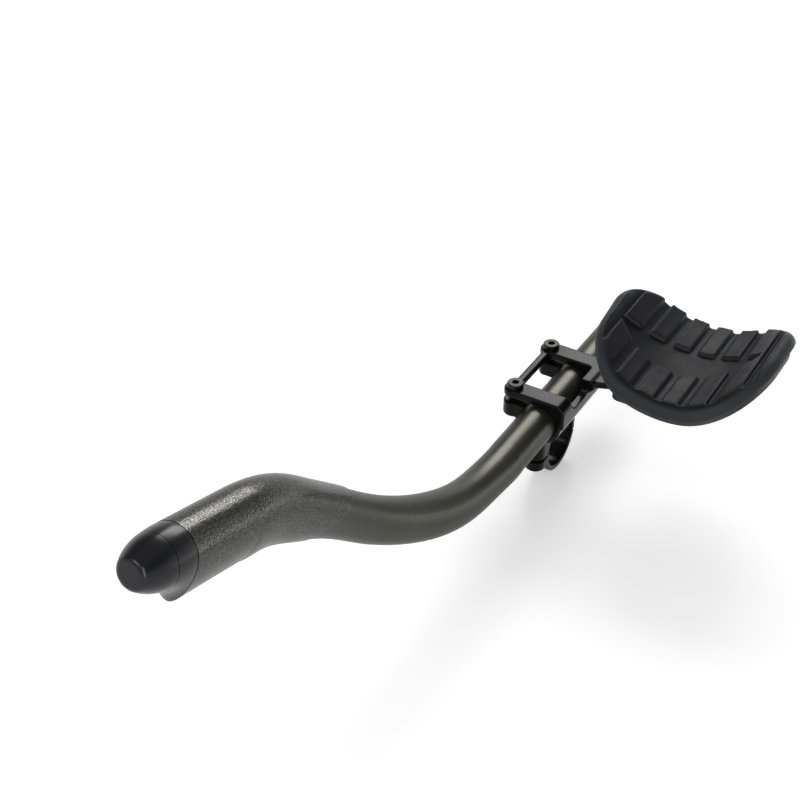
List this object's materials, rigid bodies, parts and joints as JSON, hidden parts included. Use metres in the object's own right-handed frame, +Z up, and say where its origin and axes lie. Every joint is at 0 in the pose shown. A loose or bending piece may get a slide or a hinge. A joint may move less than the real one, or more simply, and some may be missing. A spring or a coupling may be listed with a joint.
{
  "type": "aero handlebar extension",
  "caption": "S-bent handlebar extension with a ribbed forearm pad on an outrigger arm and a split clamp for the handlebar.",
  "frame": {"origin": "centre of the handlebar bore, in the middle of the clamp ring's width", "axes": "+X along the handlebar, outward from the bicycle; +Y towards the rider; +Z up"},
  "size_m": [0.1486, 0.44, 0.1902],
  "materials": {
    "tube": "satin dark anodised",
    "grip": "gritty matt",
    "nose": "satin",
    "clamp": "satin black anodised",
    "steel": "satin",
    "insert": "plain",
    "cup": "fine grain",
    "tape": "hook and loop",
    "pad": "matt foam skin"
  },
  "bodies": {
    "root": {"extension_tube": "tube", "grip_skin": "grip", "end_collar": "nose", "nose_plug": "nose", "rear_plug": "nose", "clamp_body": "clamp", "bar_strap": "clamp", "hinge_pin": "steel", "strap_bolt": "steel", "pinch_bolts": "steel", "arm_cup": "cup", "cup_bolts": "steel", "cup_washers": "steel", "cup_inserts": "insert", "pad_tapes": "tape", "arm_pad": "pad"}
  },
  "joints": []
}
